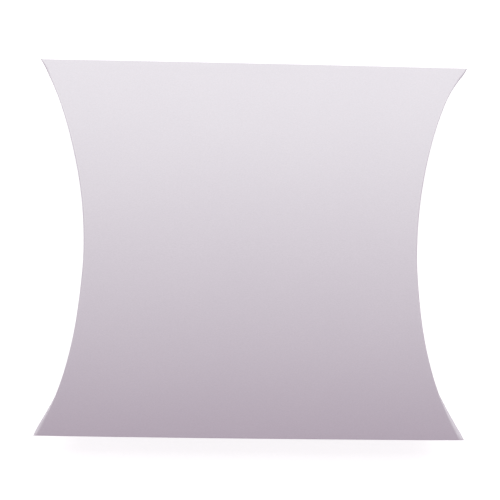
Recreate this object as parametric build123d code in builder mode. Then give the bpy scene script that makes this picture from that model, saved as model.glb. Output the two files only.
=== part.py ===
from build123d import *
from math import sqrt
import os

os.makedirs("parts", exist_ok=True)

# Pillow box of folded card, lying on its back panel.
# X runs from end to end, Y from side fold to side fold, and Z is up.
# The origin is on the surface that the box lies on, under the middle of the box.
# Each panel is bent to a cylinder about an axis along X. At each end the card is folded along a
# curved crease that lies in a plane at 45 degrees, and the flap beyond it stands upright.
# The four upright flaps are bent to cylinders about the two end axes, which are along Z.

# Box
box_length = 150.0  # front panel, corner to corner along a side fold
corner_width = 134.0  # between the lines where the outer faces of the two panels would meet
front_rise = 18.0  # crest of the front panel above the plane of the side folds
board = 0.4  # thickness of the card
fold_radius = 0.55  # outside of a side fold

# Flaps
flap_gap = 0.3  # between the outer and the inner flap of an end
score_gap = 0.1  # across a curved crease, between a panel and its flap
outer_edge_setback = 0.9  # free edge of an outer flap, from the level of the back panel's crease
inner_edge_setback = 3.2  # free edge of an inner flap, from the level of the front panel's crease
outer_tip_relief = 1.8  # tip of an outer flap, in from the corner
inner_tip_relief = 4.5  # tip of an inner flap, in from the corner
notch_radius = 8.0  # thumb notch in the free edge of an outer flap
notch_fillet = 1.5  # where the thumb notch runs out into the free edge

# Glued seam, inside the back panel along the side fold at -Y
tab_width = 14.0  # glue tab, from the corner to its free edge
tab_end_clearance = 2.0  # between an end of the glue tab and the inner flap
tab_corner_radius = 2.0  # free corners of the glue tab
seam_setback = 2.0  # root of the glue tab, from the corner to the raw edge of the back panel
seam_gap = 0.15  # between the root of the glue tab and that raw edge
glue_film = 0.1  # thickness of the adhesive
glue_margin = 1.5  # from the edges of the lap to the adhesive

# Values that follow from those sizes
corner = corner_width / 2
diagonal = sqrt(2)
front_radius = (corner**2 + front_rise**2) / (2 * front_rise)
back_radius = front_radius + board + flap_gap
back_rise = back_radius - sqrt(back_radius**2 - corner**2)
front_axis_drop = front_radius - front_rise
back_axis_drop = back_radius - back_rise
front_half = box_length / 2
back_half = front_half + front_axis_drop - back_axis_drop
end_axis = front_half + front_axis_drop
box_height = front_rise + back_rise
lap_outer_radius = back_radius - board - glue_film
lap_inner_radius = lap_outer_radius - board

# The cross-section's plane, seen from +X, with its own origin level with the side folds
section = Plane(origin=(0, 0, back_rise), x_dir=(0, 1, 0), z_dir=(1, 0, 0))

ABOVE = (Align.CENTER, Align.MIN)
BELOW = (Align.CENTER, Align.MAX)


def lens(sketch):
    """Outer faces of both panels in cross-section, with the side folds rounded."""
    with BuildLine() as outline:
        ThreePointArc((-corner, 0), (0, front_rise), (corner, 0))
        ThreePointArc((-corner, 0), (0, -back_rise), (corner, 0))
    make_face(outline.edges())
    fillet(sketch.vertices(), radius=fold_radius)


def flap_side_of_crease(half_length, radius, axis_drop, side, up, gap, mode):
    """All that lies on the flap's side of a curved crease, cut square to the crease's plane."""
    crease_plane = Plane(
        origin=(side * half_length, 0, back_rise),
        x_dir=(0, side * up, 0),
        z_dir=(side, 0, up),
    )
    with BuildSketch(crease_plane) as crease:
        with Locations((0, -axis_drop * diagonal - gap)):
            Ellipse(radius, radius * diagonal)
    extrude(crease.sketch, amount=box_length, both=True, mode=mode)


def upright_wall(radius, side, tip_relief):
    """Upright card at one end, with its outer face on the end's cylinder of that radius."""
    with BuildSketch() as wall:
        with Locations((side * end_axis, 0)):
            Circle(radius + board)
            Circle(radius, mode=Mode.SUBTRACT)
        with Locations((side * front_half / 2, 0)):
            Rectangle(front_half, 2 * (corner - tip_relief), mode=Mode.INTERSECT)
    extrude(wall.sketch, amount=box_height)


def wall_place(radius, y):
    """Distance from the middle of the box to an end's cylinder of that radius, along X."""
    return end_axis - sqrt(radius**2 - y**2)


# Front panel, the upper one
with BuildPart() as front_panel:
    with BuildSketch(section) as front_section:
        lens(front_section)
        offset(amount=-board, mode=Mode.SUBTRACT)
        Rectangle(corner_width, front_rise, align=ABOVE, mode=Mode.INTERSECT)
    extrude(amount=front_half, both=True)
    for side in (-1, 1):
        flap_side_of_crease(front_half, front_radius, front_axis_drop, side, 1, 0, Mode.SUBTRACT)
front_panel.part.label = "front_panel"
export_step(front_panel.part, "parts/front_panel.step")

# Back panel, the one that the box lies on, with its raw edge along the seam
with BuildPart() as back_panel:
    with BuildSketch(section) as back_section:
        lens(back_section)
        offset(amount=-board, mode=Mode.SUBTRACT)
        with Locations((seam_setback + seam_gap, 0)):
            Rectangle(corner_width, back_rise, align=BELOW, mode=Mode.INTERSECT)
    extrude(amount=back_half, both=True)
    for side in (-1, 1):
        flap_side_of_crease(back_half, back_radius, back_axis_drop, side, -1, 0, Mode.SUBTRACT)
back_panel.part.label = "back_panel"
export_step(back_panel.part, "parts/back_panel.step")

# Outer flaps, folded down from the front panel
for side, end_name in ((-1, "left"), (1, "right")):
    with BuildPart() as outer_flap:
        upright_wall(front_radius, side, outer_tip_relief)
        flap_side_of_crease(
            front_half, front_radius, front_axis_drop, side, 1, score_gap, Mode.INTERSECT
        )
        with BuildSketch(section) as outer_edge:
            with Locations((0, back_axis_drop + outer_edge_setback)):
                Circle(back_radius)
            with Locations((0, outer_edge_setback - back_rise)):
                Circle(notch_radius, mode=Mode.SUBTRACT)
            notch_ends = outer_edge.vertices().sort_by(Axis.Y)[:2]
            fillet(notch_ends, radius=notch_fillet)
        extrude(amount=front_half, both=True, mode=Mode.INTERSECT)
    outer_flap.part.label = f"{end_name}_outer_flap"
    export_step(outer_flap.part, f"parts/{end_name}_outer_flap.step")

# Inner flaps, folded up from the back panel and covered by the outer ones
for side, end_name in ((-1, "left"), (1, "right")):
    with BuildPart() as inner_flap:
        upright_wall(back_radius, side, inner_tip_relief)
        flap_side_of_crease(
            back_half, back_radius, back_axis_drop, side, -1, score_gap, Mode.INTERSECT
        )
        with BuildSketch(section):
            with Locations((0, -front_axis_drop - inner_edge_setback)):
                Circle(front_radius)
        extrude(amount=front_half, both=True, mode=Mode.INTERSECT)
    inner_flap.part.label = f"{end_name}_inner_flap"
    export_step(inner_flap.part, f"parts/{end_name}_inner_flap.step")

# Glue tab, folded in from the front panel at -Y and lapped inside the back panel
tab_root_half = wall_place(back_radius + board, corner) - tab_end_clearance
tab_free_half = wall_place(back_radius + board, corner - tab_width) - tab_end_clearance
with BuildPart() as glue_tab:
    with BuildSketch(section) as tab_section:
        lens(tab_section)
        with Locations((0, back_axis_drop)):
            Circle(lap_inner_radius, mode=Mode.SUBTRACT)
        with Locations((-corner, 0)):
            Rectangle(corner, back_rise, align=(Align.MIN, Align.MAX), mode=Mode.INTERSECT)
    extrude(amount=tab_root_half, both=True)
    with BuildSketch(section):
        with Locations((seam_setback - corner, 0)):
            Rectangle(corner, back_rise, align=(Align.MIN, Align.MAX))
        with Locations((0, back_axis_drop)):
            Circle(lap_outer_radius, mode=Mode.SUBTRACT)
    extrude(amount=box_length, both=True, mode=Mode.SUBTRACT)
    with BuildSketch() as tab_outline:
        with BuildLine():
            Polyline(
                (-tab_root_half, -corner),
                (tab_root_half, -corner),
                (tab_free_half, tab_width - corner),
                (-tab_free_half, tab_width - corner),
                close=True,
            )
        make_face()
        fillet(tab_outline.vertices().group_by(Axis.Y)[-1], radius=tab_corner_radius)
    extrude(amount=back_rise, mode=Mode.INTERSECT)
glue_tab.part.label = "glue_tab"
export_step(glue_tab.part, "parts/glue_tab.step")

# Adhesive film between the glue tab and the back panel
with BuildPart() as glue_line:
    with BuildSketch(section):
        with Locations((0, back_axis_drop)):
            Circle(back_radius - board)
            Circle(lap_outer_radius, mode=Mode.SUBTRACT)
        with Locations((seam_setback + seam_gap + glue_margin - corner, 0)):
            Rectangle(
                tab_width - seam_setback - seam_gap - 2 * glue_margin,
                back_rise,
                align=(Align.MIN, Align.MAX),
                mode=Mode.INTERSECT,
            )
    extrude(amount=tab_free_half - glue_margin, both=True)
glue_line.part.label = "glue_line"
export_step(glue_line.part, "parts/glue_line.step")
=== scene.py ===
import math

import bmesh
import bpy
import numpy as np
from mathutils import Matrix, Vector, noise


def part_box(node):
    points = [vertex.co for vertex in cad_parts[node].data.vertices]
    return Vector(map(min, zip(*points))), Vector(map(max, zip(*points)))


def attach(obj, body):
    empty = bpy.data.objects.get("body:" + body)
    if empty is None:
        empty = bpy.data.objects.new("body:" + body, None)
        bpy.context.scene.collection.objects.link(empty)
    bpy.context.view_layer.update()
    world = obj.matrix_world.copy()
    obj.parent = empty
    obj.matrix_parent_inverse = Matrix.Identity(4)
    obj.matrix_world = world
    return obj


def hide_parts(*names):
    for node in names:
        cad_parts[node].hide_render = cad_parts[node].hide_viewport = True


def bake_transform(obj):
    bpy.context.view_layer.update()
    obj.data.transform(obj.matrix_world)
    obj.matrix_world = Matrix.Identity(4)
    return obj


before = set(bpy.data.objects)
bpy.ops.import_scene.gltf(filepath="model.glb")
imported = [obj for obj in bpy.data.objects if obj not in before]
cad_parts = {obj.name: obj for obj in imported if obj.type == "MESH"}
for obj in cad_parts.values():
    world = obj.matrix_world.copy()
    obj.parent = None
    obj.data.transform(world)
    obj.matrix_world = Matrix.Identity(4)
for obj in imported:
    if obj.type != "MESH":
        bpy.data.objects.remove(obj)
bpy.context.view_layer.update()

# The pillow box lies on its back panel. All lengths are in metres, in the model's frame.
# Every piece of card is a sheet: a grid of points on its outer face, the same grid one board
# behind it, and the four cut edges between them.
# A level is a height above the surface that the box lies on. A rise starts from the plane of the
# two side folds, upwards for the front panel and the outer flaps, and downwards for the back
# panel and the inner flaps.
# An end of the box is -1 for the left one and 1 for the right one. A side fold is -1 or 1, by
# the sign of its Y.
MM = 0.001

# Sizes that the pieces share with the solids
CORNER = 67.0 * MM  # from the middle to the line where the two panels would meet
FRONT_HALF = 75.0 * MM  # from the middle to a corner of the front panel
BOARD = 0.4 * MM  # thickness of the card
FOLD_RADIUS = 0.55 * MM  # outside of a side fold
FLAP_GAP = 0.3 * MM  # between the outer and the inner flap of an end
OUTER_EDGE_SETBACK = 0.9 * MM  # free edge of an outer flap, from the back panel's crease
INNER_EDGE_SETBACK = 3.2 * MM  # free edge of an inner flap, from the front panel's crease
INNER_TIP_RELIEF = 4.5 * MM  # tip of an inner flap, in from the corner
NOTCH_RADIUS = 8.0 * MM  # thumb notch in the free edge of an outer flap
NOTCH_FILLET = 1.5 * MM  # where the thumb notch runs out into the free edge
TAB_WIDTH = 14.0 * MM  # glue tab, from the corner to its free edge
TAB_END_CLEARANCE = 2.0 * MM  # between an end of the glue tab and the inner flap
TAB_CORNER_RADIUS = 2.0 * MM  # free corners of the glue tab
SEAM_SETBACK = 2.0 * MM  # root of the glue tab, from the corner to the raw edge
SEAM_GAP = 0.15 * MM  # between the root of the glue tab and that raw edge
GLUE_FILM = 0.1 * MM  # thickness of the adhesive
GLUE_MARGIN = 1.5 * MM  # from the edges of the lap to the adhesive

# Values that follow from those sizes and from the frame
fold_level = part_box("front_panel")[0].z
top_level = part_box("front_panel")[1].z
front_rise = top_level - fold_level
back_rise = fold_level
front_radius = (CORNER**2 + front_rise**2) / (2 * front_rise)
back_radius = front_radius + BOARD + FLAP_GAP
front_drop = front_radius - front_rise
back_drop = back_radius - back_rise
back_half = FRONT_HALF + front_drop - back_drop
end_axis = FRONT_HALF + front_drop
inner_tip = CORNER - INNER_TIP_RELIEF
raw_edge = CORNER - SEAM_SETBACK - SEAM_GAP
tab_free_edge = CORNER - TAB_WIDTH

# Creases, with the shallow channel that the creasing rule leaves on each side of a bend
CHANNEL_DEPTH = 0.035 * MM
CHANNEL_PLACE = 0.35 * MM  # from the bend to the middle of the channel
CHANNEL_WIDTH = 0.16 * MM
BEND_SHARE = 0.35  # most of a flap's length that its bend may take up
TIP_EASE = 0.3 * MM  # over which an outer flap's free edge comes level with a side fold
CREASE_WEAR = 0.14  # how strongly the coating whitens at the curved creases
FOLD_WEAR = 0.03  # how strongly it whitens at the side folds
WEAR_WIDTH = 0.5 * MM
SHARP_ANGLE = math.radians(50)  # faces that meet more sharply than this are shaded apart

# The four corners of the front panel differ a little, as the card gave way there when the box was
# folded. The values in these tables are in millimetres. Those in the first three belong to these
# distances from the middle of the box towards a side fold, and their keys are (end, side fold).
CORNER_PLACES = np.array([0, 14, 34, 48, 56, 61, 64, 66.5]) * MM
# How far the curved crease lies out from its ideal line
CREASE_SHIFT = {
    (1, -1): (0, 0.2, 0.15, 0.3, 0.6, 1.0, 1.0, 0.8),
    (-1, -1): (0, 0.25, 0, -0.2, -0.1, 0.25, 0.1, -0.2),
    (1, 1): (0, -0.05, -0.1, -0.1, 0.2, 1.05, 1.7, 1.5),
    (-1, 1): (0, -0.05, 0.1, 0.05, 0.1, 0.25, 0.2, 0.1),
}
# How far the outer flap's free edge stands out from that crease
FLAP_SPLAY = {
    (1, -1): (0, 0.2, 0.8, 1.8, 2.0, 1.75, 1.85, 1.85),
    (-1, -1): (0, 0.1, 0.4, 1.0, 1.15, 1.05, 1.2, 1.15),
    (1, 1): (0, 0.05, 0.2, 0.3, 0.15, 0.1, 0.3, 0.4),
    (-1, 1): (0, 0.05, 0.2, 0.25, 0.15, 0.1, 0.15, 0.3),
}
# Outside radius of the bend, by side fold alone. The card bends less sharply near the corners.
CREASE_RADIUS = {
    -1: (0.6, 0.55, 0.45, 0.4, 0.45, 0.8, 0.9, 0.7),
    1: (0.6, 0.55, 0.45, 0.4, 0.45, 0.85, 1.2, 1.0),
}
# How far a side fold lies towards +Y from its straight line: left end, middle, right end
FOLD_DRIFT = {-1: (0.02, -0.09, 0.21), 1: (0.46, 0.30, -0.21)}

# Columns of the grids, which panels and flaps share
LAST_COLUMN = 65.8 * MM  # the last one before the rounded side fold
PANEL_COLUMNS = 96  # even ones, from side to side
NOTCH_COLUMNS = 28  # round the rim of the thumb notch
NOTCH_END_COLUMNS = np.linspace(0.1, 1.3, 7) * MM  # out from the rim
TIP_COLUMNS = np.array([0.35, 0.8, 1.4, 2.1]) * MM  # in from the last column
EVEN_SPACING = 0.3 * MM  # least distance from an even column to those extra ones
FOLD_SPACING = 0.1 * MM  # least distance from a column to the rounded side fold
TIP_SPACING = 0.2 * MM  # least distance from a column to the tip of an inner flap
COLUMN_DIGITS = 7  # columns that agree to this many digits of a metre are one
FOLD_STEPS = 6  # round half a side fold

# Rows of the grids
END_ROWS = np.array([0, 0.15, 0.25, 0.35, 0.45, 0.6, 0.9, 1.6, 3.0]) * MM  # in from a crease
PANEL_ROWS = 44  # even ones, between those at the two ends
CREASE_STEPS = 6  # round the bend at a curved crease
FLAP_ROWS = 26
FIRST_ROW_SHARE = 0.02  # a row just beyond the bend, as a share of the flap's flat part

# Glue tab and glue line
JOG_MARGIN = 0.05 * MM  # from the end of the tab's jog to the gap along the seam
JOG_COLUMNS = 9
LAP_COLUMNS = 22
TAB_ROWS = 41
FILM_ROWS = 121
FILM_COLUMNS = 9
WANDER = 0.5 * MM  # how far the margin of the pressed glue wanders, at most
WANDER_LENGTH = 4.0 * MM  # length of one swing of that margin, about
FOLD_MARGIN_SEED = 1.5
FREE_MARGIN_SEED = 7.5

# Card: the noise scales are in features to a metre, and the fibres run along X
CLOUD_SCALE = 38.0
MOTTLE_SCALE = 900.0
FIBRE_SCALE = 5200.0
FIBRE_STRETCH = (0.35, 1.0, 1.0)
FIBRE_ROUGHNESS = 0.6
FIBRE_LEAST = 0.35  # fibre noise of the darkest fibres
FIBRE_MOST = 0.65  # fibre noise of the lightest fibres
FINE_DETAIL = 3.0
COARSE_DETAIL = 2.0
MOTTLE_RELIEF = 0.5  # height of the mottle beside that of the fibres
GLOSS_SPREAD = 0.05  # how far the roughness moves to either side
WHITENED_COLOR = (0.86, 0.85, 0.86)
CARD_IOR = 1.45
CARD_SPECULAR = 0.4

# Floor and background
FLOOR_HALF = 1.6
FLOOR_SEGMENTS = 8
FLOOR_COLOR = (0.65, 0.60, 0.65)
GLOW_COLOR = (0.965, 1.0, 0.965)
GLOW_STRENGTH = 0.76
WHITE = (1.0, 1.0, 1.0)
FILL_COLOR = (1.0, 0.82, 0.98)
FILL_STRENGTH = 0.405

# Key light
KEY_TILT = math.radians(45)  # from straight above towards +Y
KEY_DISTANCE = 2.4
KEY_SIZE = 2.2
KEY_POWER = 52.5
KEY_COLOR = (0.86, 1.0, 0.876)

# Camera
CAMERA_VIEW = math.radians(22.0)
CAMERA_DISTANCE = 0.4567  # from the plane of the side folds
CAMERA_PITCH = math.radians(-0.45)
CAMERA_YAW = math.radians(1.10)
CAMERA_ROLL = math.radians(-0.86)
CAMERA_SENSOR = 36.0
CAMERA_CLIP = (0.01, 20.0)
IMAGE_SIZE = 500
IMAGE_CENTRE = (249.73, 251.03)  # pixel where the middle of the plane of the side folds shows

NODE_SPACING = 220  # between shader nodes, in the node editor


# Helpers


def in_scene(name, data):
    """A new object of the scene."""
    made = bpy.data.objects.new(name, data)
    bpy.context.scene.collection.objects.link(made)
    return made


def node(tree, kind, **settings):
    """A new shader node, to the right of those before it."""
    made = tree.nodes.new(kind)
    made.location.x = NODE_SPACING * len(tree.nodes)
    for key, value in settings.items():
        setattr(made, key, value)
    return made


def eased(share):
    """A share from 0 to 1, changed so that it starts and ends level."""
    return share * share * (3 - 2 * share)


def grid_of(x, y, z):
    """A grid of points. A coordinate is given for each point, or for one row or one column."""
    return np.stack(np.broadcast_arrays(x, y, z), axis=-1)


# Shape of the box


def rise(y, radius, drop):
    """Rise of a panel's ideal outer face."""
    return np.sqrt(radius**2 - y**2) - drop


def smooth_curve(values, y):
    """Cubic curve through a table's values, level in the middle of the box."""
    values, at = np.array(values) * MM, np.abs(y)
    slopes = np.gradient(values, CORNER_PLACES)
    slopes[0] = 0
    index = np.clip(np.searchsorted(CORNER_PLACES, at) - 1, 0, len(CORNER_PLACES) - 2)
    width = CORNER_PLACES[index + 1] - CORNER_PLACES[index]
    share = np.clip((at - CORNER_PLACES[index]) / width, 0, 1)
    before, after = values[index], values[index + 1]
    leaving = slopes[index] * width * share * (1 - share) ** 2
    arriving = slopes[index + 1] * width * share**2 * (1 - share)
    return before + (after - before) * eased(share) + leaving - arriving


def by_corner(table, end, y):
    """Values of one of the corner tables along an end of the box."""
    values = np.zeros_like(y)
    for side_fold in (-1, 1):
        here = y * side_fold > 0
        values[here] = smooth_curve(table[(end, side_fold)], y[here])
    return values


def bend_radius_at(y):
    """Outside radius of the bend at a curved crease."""
    lower, upper = (smooth_curve(CREASE_RADIUS[side_fold], y) for side_fold in (-1, 1))
    return np.where(y > 0, upper, lower)


def front_crease(end, y):
    """Distance of the front panel's crease from the middle of the box, along X."""
    return FRONT_HALF - rise(y, front_radius, front_drop) + by_corner(CREASE_SHIFT, end, y)


def towards_corner(y):
    """0 along an inner flap, rising to 1 from its tip to the side fold."""
    return eased(np.clip((np.abs(y) - inner_tip) / (LAST_COLUMN - inner_tip), 0, 1))


def back_crease(end, y):
    """The same for the back panel, which runs out to the front panel's crease at the corners."""
    corner = np.sign(y) * LAST_COLUMN
    short = front_crease(end, corner) - back_half + rise(corner, back_radius, back_drop)
    return back_half - rise(y, back_radius, back_drop) + short * towards_corner(y)


def crease_bend(y, splay, height):
    """Angle that the card turns at a crease, and the length that the bend takes up on each side."""
    turning = np.arctan2(height, splay)
    most = BEND_SHARE * np.hypot(splay, height)
    return turning, np.minimum(bend_radius_at(y) * np.tan(turning / 2), most)


def channel_depth(distance):
    """Depth of the creasing rule's channel at a distance from the bend."""
    return CHANNEL_DEPTH * np.exp(-(((distance - CHANNEL_PLACE) / CHANNEL_WIDTH) ** 2))


def notch_height(y):
    """Height of the thumb notch's rim above the free edge, with its ends rounded out."""
    y = np.abs(y)
    fillet_place = math.sqrt((NOTCH_RADIUS + NOTCH_FILLET) ** 2 - NOTCH_FILLET**2)
    tangent = fillet_place * NOTCH_RADIUS / (NOTCH_RADIUS + NOTCH_FILLET)
    on_circle = np.sqrt(np.clip(NOTCH_RADIUS**2 - y**2, 0, None))
    across = np.clip(fillet_place - y, 0, NOTCH_FILLET)
    on_fillet = NOTCH_FILLET - np.sqrt(np.clip(NOTCH_FILLET**2 - across**2, 0, None))
    return np.where(y <= tangent, on_circle, on_fillet)


def column_places():
    """Y of the columns that panels and flaps share: even, and closer at the notch and corners."""
    even = np.linspace(-LAST_COLUMN, LAST_COLUMN, PANEL_COLUMNS + 1)
    rim = NOTCH_RADIUS * np.cos(np.linspace(0, math.pi, NOTCH_COLUMNS + 1))
    ends = NOTCH_RADIUS + NOTCH_END_COLUMNS
    tips = LAST_COLUMN - TIP_COLUMNS
    beyond_notch = np.abs(even) > ends[-1] + EVEN_SPACING
    before_tips = np.abs(even) < tips[-1] - EVEN_SPACING
    away = even[beyond_notch & before_tips]
    last = [LAST_COLUMN, -LAST_COLUMN]
    places = np.concatenate([away, rim, ends, -ends, tips, -tips, last])
    return np.unique(np.round(places, COLUMN_DIGITS))


def fold_arc(radius, drop):
    """Y and rise of the rounded side fold at +Y, from the panel to the fold's middle."""
    centre = math.sqrt((radius - FOLD_RADIUS) ** 2 - drop**2)
    start = math.asin(centre / (radius - FOLD_RADIUS))
    turn = np.linspace(start, math.pi / 2, FOLD_STEPS + 1)
    return centre + FOLD_RADIUS * np.sin(turn), FOLD_RADIUS * np.cos(turn)


def panel_section(radius, drop):
    """Y and rise of a panel's columns, from one side fold's middle to the other's."""
    fold_y, fold_z = fold_arc(radius, drop)
    inner = columns[np.abs(columns) < fold_y[0] - FOLD_SPACING]
    y = np.concatenate([-fold_y[::-1], inner, fold_y])
    z = np.concatenate([fold_z[::-1], rise(inner, radius, drop), fold_z])
    return y, z


columns = column_places()
front_y, front_z = panel_section(front_radius, front_drop)  # shared with the outer flaps


def outer_flap_columns(end):
    """Crease place, how far the free edge stands out from it, and the flap's height, by column."""
    above_back = rise(front_y, back_radius, back_drop) - OUTER_EDGE_SETBACK
    # Towards the side folds the free edge runs out level with them
    below_fold = (above_back + np.hypot(above_back, TIP_EASE)) / 2
    splay = by_corner(FLAP_SPLAY, end, front_y)
    return front_crease(end, front_y), splay, front_z + below_fold


# Sheets of card


def drifted(grid):
    """The same points on a box whose side folds are a little bowed and not quite parallel."""
    x_share, y_share = grid[..., 0] / FRONT_HALF, grid[..., 1] / CORNER
    moved = grid.copy()
    for side_fold, (left, middle, right) in FOLD_DRIFT.items():
        slant, bow = (right - left) / 2, (left + right) / 2 - middle
        drift = (middle + slant * x_share + bow * x_share**2) * MM
        moved[..., 1] += drift * np.clip(y_share * side_fold, 0, 1) ** 2
    return moved


def sheet(name, grid, materials, thickness=BOARD, wear=0.0, outward=1):
    """A sheet from the grid of its outer face.

    The inner face lies one thickness behind the outer one, along its normals. The materials are
    those of the outer face, the cut edges and the inner face. wear is how strongly the coating
    whitens, from 0 to 1, by row and column. outward is 1 where the normals of the grid point out
    of the box as its rows and columns run, and -1 where they point in.
    """
    outer = drifted(grid)
    row_count, column_count = outer.shape[:2]
    wear = np.broadcast_to(wear, (row_count, column_count))
    normals = np.cross(np.gradient(outer, axis=0), np.gradient(outer, axis=1)) * outward
    normals /= np.linalg.norm(normals, axis=2, keepdims=True)
    inner = outer - normals * thickness
    card_mesh = bmesh.new()
    wear_layer = card_mesh.verts.layers.float.new("wear")

    def face_points(surface):
        made = [[card_mesh.verts.new(point) for point in row] for row in surface]
        for i in range(row_count):
            for j in range(column_count):
                made[i][j][wear_layer] = wear[i, j]
        return made

    def face(corners, material_index):
        made = card_mesh.faces.new(corners[::outward])
        made.material_index = material_index
        made.smooth = True

    outside, edge, inside = range(3)
    top, under = face_points(outer), face_points(inner)
    for i in range(row_count - 1):
        for j in range(column_count - 1):
            face((top[i][j], top[i + 1][j], top[i + 1][j + 1], top[i][j + 1]), outside)
            face((under[i][j], under[i][j + 1], under[i + 1][j + 1], under[i + 1][j]), inside)
    for i in range(row_count - 1):
        face((top[i][0], under[i][0], under[i + 1][0], top[i + 1][0]), edge)
        face((top[i][-1], top[i + 1][-1], under[i + 1][-1], under[i][-1]), edge)
    for j in range(column_count - 1):
        face((top[0][j], top[0][j + 1], under[0][j + 1], under[0][j]), edge)
        face((top[-1][j], under[-1][j], under[-1][j + 1], top[-1][j + 1]), edge)
    mesh = bpy.data.meshes.new(name)
    card_mesh.to_mesh(mesh)
    card_mesh.free()
    for material in materials:
        mesh.materials.append(material)
    mesh.set_sharp_from_angle(angle=SHARP_ANGLE)
    return in_scene(name, mesh)


# Materials


def noise_texture(tree, vector, scale, detail):
    """A noise over the object, by its features to a metre."""
    made = node(tree, "ShaderNodeTexNoise", noise_dimensions="3D")
    made.inputs["Scale"].default_value = scale
    made.inputs["Detail"].default_value = detail
    tree.links.new(vector, made.inputs["Vector"])
    return made


def card_material(name, light, dark, roughness, grain, fleck):
    """Card with a faint cloudiness, fine fibres and paler folds.

    light and dark are the two colours that the cloudiness moves between, grain is the height of
    the fibre relief and fleck how strongly the single fibres show in the colour.
    """
    material = bpy.data.materials.new(name)
    material.use_nodes = True
    tree = material.node_tree
    link = tree.links.new
    shader = tree.nodes["Principled BSDF"]
    shader.inputs["Specular IOR Level"].default_value = CARD_SPECULAR
    shader.inputs["IOR"].default_value = CARD_IOR

    # Patterns
    place = node(tree, "ShaderNodeTexCoord").outputs["Object"]
    stretch = node(tree, "ShaderNodeMapping")
    stretch.inputs["Scale"].default_value = FIBRE_STRETCH
    link(place, stretch.inputs["Vector"])
    cloud = noise_texture(tree, place, CLOUD_SCALE, FINE_DETAIL)
    mottle = noise_texture(tree, place, MOTTLE_SCALE, COARSE_DETAIL)
    fibre = noise_texture(tree, stretch.outputs["Vector"], FIBRE_SCALE, FINE_DETAIL)
    fibre.inputs["Roughness"].default_value = FIBRE_ROUGHNESS

    # Colour: cloudy, with single fibres in it
    base = node(tree, "ShaderNodeMix", data_type="RGBA")
    base.inputs["A"].default_value = (*dark, 1)
    base.inputs["B"].default_value = (*light, 1)
    link(cloud.outputs["Fac"], base.inputs["Factor"])
    threads = node(tree, "ShaderNodeMapRange")
    threads.inputs["From Min"].default_value = FIBRE_LEAST
    threads.inputs["From Max"].default_value = FIBRE_MOST
    threads.inputs["To Min"].default_value = 1 - fleck
    threads.inputs["To Max"].default_value = 1 + fleck
    link(fibre.outputs["Fac"], threads.inputs["Value"])
    grained = node(tree, "ShaderNodeVectorMath", operation="SCALE")
    link(base.outputs["Result"], grained.inputs[0])
    link(threads.outputs["Result"], grained.inputs["Scale"])

    # Folds, whitened in patches
    worn = node(tree, "ShaderNodeAttribute", attribute_name="wear")
    patchy = node(tree, "ShaderNodeMath", operation="MULTIPLY")
    link(worn.outputs["Fac"], patchy.inputs[0])
    link(mottle.outputs["Fac"], patchy.inputs[1])
    folded = node(tree, "ShaderNodeMix", data_type="RGBA")
    folded.inputs["B"].default_value = (*WHITENED_COLOR, 1)
    link(patchy.outputs["Value"], folded.inputs["Factor"])
    link(grained.outputs["Vector"], folded.inputs["A"])
    link(folded.outputs["Result"], shader.inputs["Base Color"])

    # Gloss
    gloss = node(tree, "ShaderNodeMapRange")
    gloss.inputs["To Min"].default_value = roughness - GLOSS_SPREAD
    gloss.inputs["To Max"].default_value = roughness + GLOSS_SPREAD
    link(mottle.outputs["Fac"], gloss.inputs["Value"])
    link(gloss.outputs["Result"], shader.inputs["Roughness"])

    # Relief
    relief = node(tree, "ShaderNodeMath", operation="MULTIPLY_ADD")
    relief.inputs[1].default_value = MOTTLE_RELIEF
    link(mottle.outputs["Fac"], relief.inputs[0])
    link(fibre.outputs["Fac"], relief.inputs[2])
    bump = node(tree, "ShaderNodeBump")
    bump.inputs["Strength"].default_value = 1.0
    bump.inputs["Distance"].default_value = grain
    link(relief.outputs["Value"], bump.inputs["Height"])
    link(bump.outputs["Normal"], shader.inputs["Normal"])
    return material


coated = card_material(
    "coated_card",
    light=(0.765, 0.707, 0.772),
    dark=(0.745, 0.687, 0.755),
    roughness=0.56,
    grain=0.014 * MM,
    fleck=0.03,
)
uncoated = card_material(
    "uncoated_card",
    light=(0.80, 0.785, 0.76),
    dark=(0.765, 0.75, 0.725),
    roughness=0.85,
    grain=0.012 * MM,
    fleck=0.05,
)
cut_edge = card_material(
    "cut_card_edge",
    light=(0.74, 0.72, 0.71),
    dark=(0.66, 0.64, 0.635),
    roughness=0.9,
    grain=0.02 * MM,
    fleck=0.10,
)
dried_glue = card_material(
    "dried_glue",
    light=(0.82, 0.80, 0.74),
    dark=(0.76, 0.74, 0.67),
    roughness=0.3,
    grain=0.008 * MM,
    fleck=0.02,
)
card = (coated, cut_edge, uncoated)  # outer face, cut edges, inner face


# Panels


def panel(name, y, z, left, right, up):
    """A panel over its columns, out to left and right of the middle. up is 1 for the front one.

    Its rows are shares of its length, so they lie closer together where it is shorter.
    """
    end_shares = END_ROWS / (2 * FRONT_HALF)
    even_shares = np.linspace(end_shares[-1], 1 - end_shares[-1], PANEL_ROWS)
    shares = np.concatenate([end_shares[:-1], even_shares, 1 - end_shares[:-1][::-1]])[:, None]
    x = -left * (1 - shares) + right * shares
    from_end = np.minimum(x + left, right - x)
    from_fold = np.abs(y).max() - np.abs(y)
    end_wear = CREASE_WEAR * np.exp(-((from_end / WEAR_WIDTH) ** 2))
    side_wear = FOLD_WEAR * np.exp(-((from_fold / WEAR_WIDTH) ** 2))
    grid = grid_of(x, y, fold_level + up * (z - channel_depth(from_end)))
    return sheet(name, grid, card, wear=np.maximum(end_wear, side_wear), outward=up)


def front_panel():
    """Front panel, which ends one bend before each of its creases."""
    ends = []
    for end in (-1, 1):
        place, splay, height = outer_flap_columns(end)
        _, bend_length = crease_bend(front_y, splay, height)
        ends.append(place - bend_length)
    piece = panel("front_panel_card", front_y, front_z, *ends, up=1)
    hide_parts("front_panel")
    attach(piece, "carton")


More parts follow.
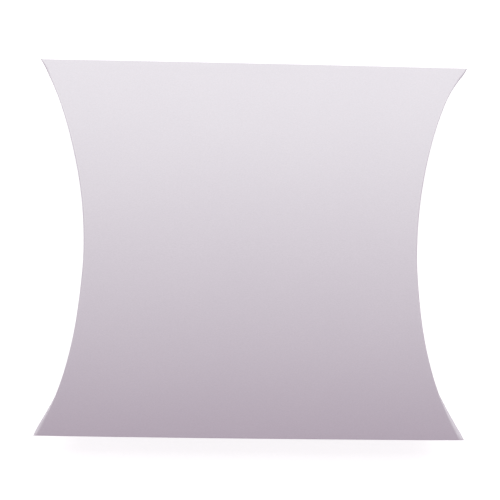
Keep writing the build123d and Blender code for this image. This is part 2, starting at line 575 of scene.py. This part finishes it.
def back_panel():
    """Back panel, with its raw edge along the seam, and out to its creases at the corners."""
    y, z = panel_section(back_radius, back_drop)
    kept = y > -raw_edge
    y = np.concatenate([[-raw_edge], y[kept]])
    z = np.concatenate([[rise(raw_edge, back_radius, back_drop)], z[kept]])
    bend_length = bend_radius_at(y) * (1 - towards_corner(y))
    ends = [back_crease(end, y) - bend_length for end in (-1, 1)]
    piece = panel("back_panel_card", y, z, *ends, up=-1)
    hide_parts("back_panel")
    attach(piece, "carton")


# Flaps


def flap_grid(end, up, y, place, crease_rise, splay, height, notch=0.0):
    """Grid of a flap by columns, from the panel over the bend to the free edge.

    place and crease_rise say where its crease lies, and splay and height where the free edge
    lies from there. notch is how far the free edge is cut back. up is 1 for a flap that hangs
    from the front panel, and -1 for one that stands on the back panel.
    """
    turning, bend_length = crease_bend(y, splay, height)
    bend_radius = bend_length / np.tan(turning / 2)
    rows_x, rows_z = [], []
    for share in np.linspace(0, 1, CREASE_STEPS + 1):
        rows_x.append(place - bend_length + bend_radius * np.sin(turning * share))
        rows_z.append(crease_rise - bend_radius * (1 - np.cos(turning * share)))
    full = np.hypot(splay, height) - notch / np.sin(turning)
    for share in [FIRST_ROW_SHARE, *np.linspace(0, 1, FLAP_ROWS + 1)[1:]]:
        along = bend_length + (full - bend_length) * share
        rows_x.append(place + along * np.cos(turning))
        rows_z.append(crease_rise - along * np.sin(turning))
    return grid_of(end * np.array(rows_x), y, fold_level + up * np.array(rows_z))


def outer_flap(end, end_name):
    """Outer flap, with a thumb notch.

    Its crease lies in a plane at 45 degrees.
    """
    place, splay, height = outer_flap_columns(end)
    grid = flap_grid(end, 1, front_y, place, front_z, splay, height, notch_height(front_y))
    # Rows from the middle of the bend, counted in whole bends
    from_bend = np.abs(np.arange(len(grid)) - CREASE_STEPS / 2)[:, None] / CREASE_STEPS
    wear = CREASE_WEAR * np.exp(-(from_bend**2))
    piece = sheet(f"{end_name}_outer_flap_card", grid, card, wear=wear, outward=end)
    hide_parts(f"{end_name}_outer_flap")
    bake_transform(piece)


def inner_flap(end, end_name):
    """Inner flap, upright behind the outer one."""
    between_tips = columns[np.abs(columns) < inner_tip - TIP_SPACING]
    y = np.concatenate([[-inner_tip], between_tips, [inner_tip]])
    crease_rise = rise(y, back_radius, back_drop)
    height = crease_rise + rise(y, front_radius, front_drop) - INNER_EDGE_SETBACK
    grid = flap_grid(end, -1, y, back_crease(end, y), crease_rise, np.zeros_like(y), height)
    piece = sheet(f"{end_name}_inner_flap_card", grid, card, outward=-end)
    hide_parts(f"{end_name}_inner_flap")
    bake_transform(piece)


# Glued seam at -Y


def tab_reach(y):
    """Half length that the tab may have at a place, clear of the inner flaps."""
    return end_axis - math.sqrt((back_radius + BOARD) ** 2 - y**2) - TAB_END_CLEARANCE


def tab_half(y):
    """Half length of the tab by column: slanted ends, and rounded free corners."""
    from_free_edge = np.abs(y) - tab_free_edge
    share = from_free_edge / TAB_WIDTH
    half = tab_reach(tab_free_edge) * (1 - share) + tab_reach(CORNER) * share
    into_corner = np.clip(TAB_CORNER_RADIUS - from_free_edge, 0, TAB_CORNER_RADIUS)
    return half - TAB_CORNER_RADIUS + np.sqrt(TAB_CORNER_RADIUS**2 - into_corner**2)


def glue_tab():
    """Glue tab: round the side fold, in by a jog, and on along the inside of the back panel."""
    fold_y, fold_z = fold_arc(back_radius, back_drop)
    jog_start = fold_y[0] - FOLD_SPACING
    jog_end = CORNER - SEAM_SETBACK + JOG_MARGIN
    jog_y = np.linspace(jog_start, jog_end, JOG_COLUMNS)
    lap_y = np.linspace(jog_end, tab_free_edge, LAP_COLUMNS)[1:]
    y = np.concatenate([jog_y, lap_y])
    jog_share = np.clip((jog_start - y) / (jog_start - jog_end), 0, 1)
    inward = eased(jog_share) * (BOARD + GLUE_FILM) / np.cos(np.arcsin(y / back_radius))
    z = np.concatenate([fold_z[::-1], rise(y, back_radius, back_drop) - inward])
    y = np.concatenate([fold_y[::-1], y])
    along_shares = np.linspace(-1, 1, TAB_ROWS)[:, None]
    grid = grid_of(along_shares * tab_half(y), -y, fold_level - z)
    piece = sheet("glue_tab_card", grid, card, outward=-1)
    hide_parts("glue_tab")
    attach(piece, "carton")


def wander(x, seed):
    """How far the margin of the pressed glue wanders, along the seam."""
    return np.array([WANDER * noise.noise(Vector((value / WANDER_LENGTH, seed, 0))) for value in x])


def glue_line():
    """Glue line, a pressed film whose uneven margins stay within those of the solid."""
    half = tab_half(tab_free_edge + TAB_CORNER_RADIUS) - GLUE_MARGIN
    x = np.linspace(-half, half, FILM_ROWS)
    near_fold = raw_edge - GLUE_MARGIN - WANDER + wander(x, FOLD_MARGIN_SEED)[:, None]
    near_free_edge = tab_free_edge + GLUE_MARGIN + WANDER + wander(x, FREE_MARGIN_SEED)[:, None]
    across_shares = np.linspace(0, 1, FILM_COLUMNS)[None, :]
    y = near_fold * (1 - across_shares) + near_free_edge * across_shares
    level = fold_level + back_drop - np.sqrt((back_radius - BOARD) ** 2 - y**2)
    grid = grid_of(x[:, None], -y, level)
    piece = sheet("glue_line_film", grid, (dried_glue,) * 3, thickness=GLUE_FILM, outward=-1)
    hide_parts("glue_line")
    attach(piece, "carton")


# Studio


def seen_directly(tree):
    """1 for what the camera, a reflection or a transmission sees, 0 for light that bounces."""
    path = node(tree, "ShaderNodeLightPath")
    either = node(tree, "ShaderNodeMath", operation="MAXIMUM")
    any_of = node(tree, "ShaderNodeMath", operation="MAXIMUM")
    tree.links.new(path.outputs["Is Camera Ray"], either.inputs[0])
    tree.links.new(path.outputs["Is Glossy Ray"], either.inputs[1])
    tree.links.new(either.outputs["Value"], any_of.inputs[0])
    tree.links.new(path.outputs["Is Transmission Ray"], any_of.inputs[1])
    return any_of.outputs["Value"]


def floor_material():
    """Pale and matt, with a glow for what is seen directly.

    The glow makes the floor white where the light is full, and leaves the box's shadow on it. It
    is faintly green, because the fill is lilac and would tint the shadow.
    """
    material = bpy.data.materials.new("pale_floor")
    material.use_nodes = True
    tree = material.node_tree
    shader = tree.nodes["Principled BSDF"]
    shader.inputs["Base Color"].default_value = (*FLOOR_COLOR, 1)
    shader.inputs["Roughness"].default_value = 1.0
    shader.inputs["Specular IOR Level"].default_value = 0.0
    shader.inputs["Emission Color"].default_value = (*GLOW_COLOR, 1)
    glow = node(tree, "ShaderNodeMath", operation="MULTIPLY")
    glow.inputs[1].default_value = GLOW_STRENGTH
    tree.links.new(seen_directly(tree), glow.inputs[0])
    tree.links.new(glow.outputs["Value"], shader.inputs["Emission Strength"])
    return material


def floor():
    """Floor, no larger than the key light reaches, so that the white world takes over from it."""
    flat = bmesh.new()
    bmesh.ops.create_grid(
        flat, x_segments=FLOOR_SEGMENTS, y_segments=FLOOR_SEGMENTS, size=FLOOR_HALF
    )
    mesh = bpy.data.meshes.new("floor")
    flat.to_mesh(mesh)
    flat.free()
    mesh.materials.append(floor_material())
    in_scene("floor", mesh)


def studio_world():
    """World: white for what is seen directly, and a faint lilac fill for the rest."""
    world = bpy.data.worlds.new("studio")
    bpy.context.scene.world = world
    world.use_nodes = True
    tree = world.node_tree
    fill = tree.nodes["Background"]
    fill.inputs["Color"].default_value = (*FILL_COLOR, 1)
    fill.inputs["Strength"].default_value = FILL_STRENGTH
    white = node(tree, "ShaderNodeBackground")
    white.inputs["Color"].default_value = (*WHITE, 1)
    white.inputs["Strength"].default_value = 1.0
    choice = node(tree, "ShaderNodeMixShader")
    tree.links.new(seen_directly(tree), choice.inputs["Fac"])
    tree.links.new(fill.outputs["Background"], choice.inputs[1])
    tree.links.new(white.outputs["Background"], choice.inputs[2])
    tree.links.new(choice.outputs["Shader"], tree.nodes["World Output"].inputs["Surface"])


def key_light():
    """Key light: one large soft box beyond the far side fold."""
    lamp = bpy.data.lights.new("key", "AREA")
    lamp.shape = "SQUARE"
    lamp.size = KEY_SIZE
    lamp.energy = KEY_POWER
    lamp.color = KEY_COLOR
    key = in_scene("key", lamp)
    direction = Vector((0, math.sin(KEY_TILT), math.cos(KEY_TILT)))
    key.location = direction * KEY_DISTANCE
    key.rotation_mode = "QUATERNION"
    key.rotation_quaternion = direction.to_track_quat("Z", "Y")


def studio_camera():
    """Camera straight above the box, but for the small tilts that the photo's outline shows."""
    view_tangent = math.tan(CAMERA_VIEW / 2)
    lens = bpy.data.cameras.new("camera")
    lens.sensor_width = CAMERA_SENSOR
    lens.lens = CAMERA_SENSOR / 2 / view_tangent
    lens.clip_start, lens.clip_end = CAMERA_CLIP
    camera = in_scene("camera", lens)
    turned = (
        Matrix.Rotation(CAMERA_ROLL, 3, "Z")
        @ Matrix.Rotation(CAMERA_PITCH, 3, "X")
        @ Matrix.Rotation(CAMERA_YAW, 3, "Y")
    )
    back_to_box = turned.transposed()
    pixel = 2 * view_tangent / IMAGE_SIZE * CAMERA_DISTANCE
    right = (IMAGE_SIZE / 2 - IMAGE_CENTRE[0]) * pixel
    up = (IMAGE_CENTRE[1] - IMAGE_SIZE / 2) * pixel
    place = Vector((0, 0, fold_level)) + back_to_box @ Vector((right, up, CAMERA_DISTANCE))
    camera.matrix_world = Matrix.Translation(place) @ back_to_box.to_4x4()
    bpy.context.scene.camera = camera


# The whole scene
front_panel()
back_panel()
for end, end_name in ((-1, "left"), (1, "right")):
    outer_flap(end, end_name)
    inner_flap(end, end_name)
glue_tab()
glue_line()
floor()
studio_world()
key_light()
studio_camera()
bpy.context.scene.view_settings.view_transform = "Standard"
